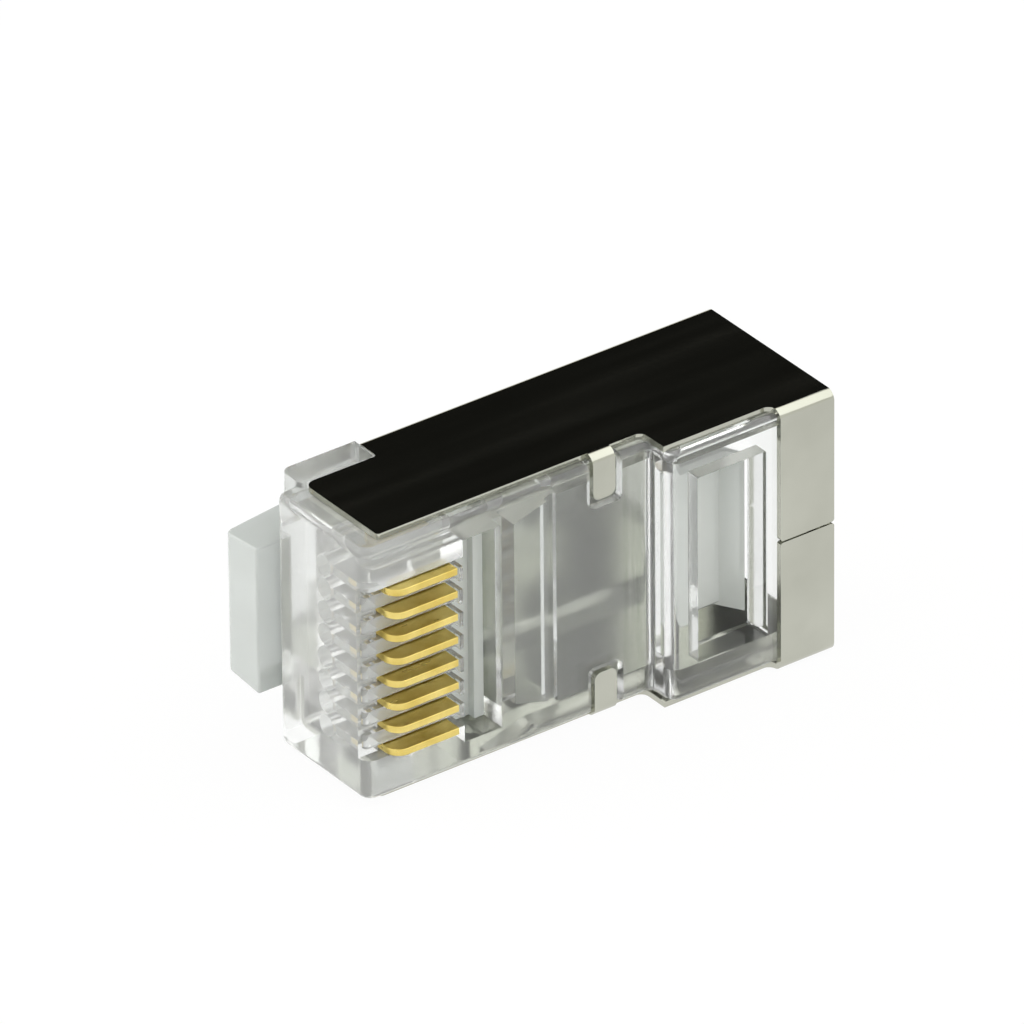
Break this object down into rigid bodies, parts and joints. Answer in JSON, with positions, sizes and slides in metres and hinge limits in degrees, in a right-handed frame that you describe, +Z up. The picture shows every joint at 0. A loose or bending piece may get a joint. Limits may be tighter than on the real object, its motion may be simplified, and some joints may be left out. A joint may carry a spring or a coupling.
{
  "type": "rj45 modular plug",
  "caption": "Shielded modular plug before crimping: clear body, folded metal shield, gold blades standing proud, sprung locking latch, and bars that clamp the wires and the cable.",
  "frame": {"origin": "bottom centre of the whole plug's box, with the plug lying on one lateral plate as in the picture", "axes": "+X from the nose to the cable end, +Y from the contact side to the latch side, +Z up, across the plug's width"},
  "size_m": [0.022, 0.0116, 0.0117],
  "materials": {
    "clear_plastic": "clear moulded polycarbonate",
    "shield_plating": "bright nickel plate",
    "gold_plating": "satin gold plate"
  },
  "bodies": {
    "plug": {"housing": "clear_plastic", "shield": "shield_plating"},
    "latch": {"latch": "clear_plastic"},
    "wire_clamp": {"wire_clamp": "clear_plastic"},
    "cable_clamp": {"cable_clamp": "clear_plastic"},
    "contact_1": {"contact_1": "gold_plating"},
    "contact_2": {"contact_2": "gold_plating"},
    "contact_3": {"contact_3": "gold_plating"},
    "contact_4": {"contact_4": "gold_plating"},
    "contact_5": {"contact_5": "gold_plating"},
    "contact_6": {"contact_6": "gold_plating"},
    "contact_7": {"contact_7": "gold_plating"},
    "contact_8": {"contact_8": "gold_plating"}
  },
  "joints": [
    {"name": "latch_press", "type": "hinge", "parent": "plug", "child": "latch", "pos_m": [-0.0093, 0.00166, 0.00584], "axis": [0, 0, -1], "range_deg": [0, 9], "stiffness_Nm_per_rad": 0.05},
    {"name": "wire_clamp_press", "type": "hinge", "parent": "plug", "child": "wire_clamp", "pos_m": [-0.0039, -0.00275, 0.00584], "axis": [0, 0, -1], "range_deg": [0, 22]},
    {"name": "cable_clamp_press", "type": "hinge", "parent": "plug", "child": "cable_clamp", "pos_m": [0.00786, -0.00422, 0.00584], "axis": [0, 0, -1], "range_deg": [0, 20]},
    {"name": "contact_1_crimp", "type": "slide", "parent": "plug", "child": "contact_1", "axis": [0, 1, 0], "range_m": [0, 0.00098]},
    {"name": "contact_2_crimp", "type": "slide", "parent": "plug", "child": "contact_2", "axis": [0, 1, 0], "range_m": [0, 0.00098]},
    {"name": "contact_3_crimp", "type": "slide", "parent": "plug", "child": "contact_3", "axis": [0, 1, 0], "range_m": [0, 0.00098]},
    {"name": "contact_4_crimp", "type": "slide", "parent": "plug", "child": "contact_4", "axis": [0, 1, 0], "range_m": [0, 0.00098]},
    {"name": "contact_5_crimp", "type": "slide", "parent": "plug", "child": "contact_5", "axis": [0, 1, 0], "range_m": [0, 0.00098]},
    {"name": "contact_6_crimp", "type": "slide", "parent": "plug", "child": "contact_6", "axis": [0, 1, 0], "range_m": [0, 0.00098]},
    {"name": "contact_7_crimp", "type": "slide", "parent": "plug", "child": "contact_7", "axis": [0, 1, 0], "range_m": [0, 0.00098]},
    {"name": "contact_8_crimp", "type": "slide", "parent": "plug", "child": "contact_8", "axis": [0, 1, 0], "range_m": [0, 0.00098]}
  ]
}
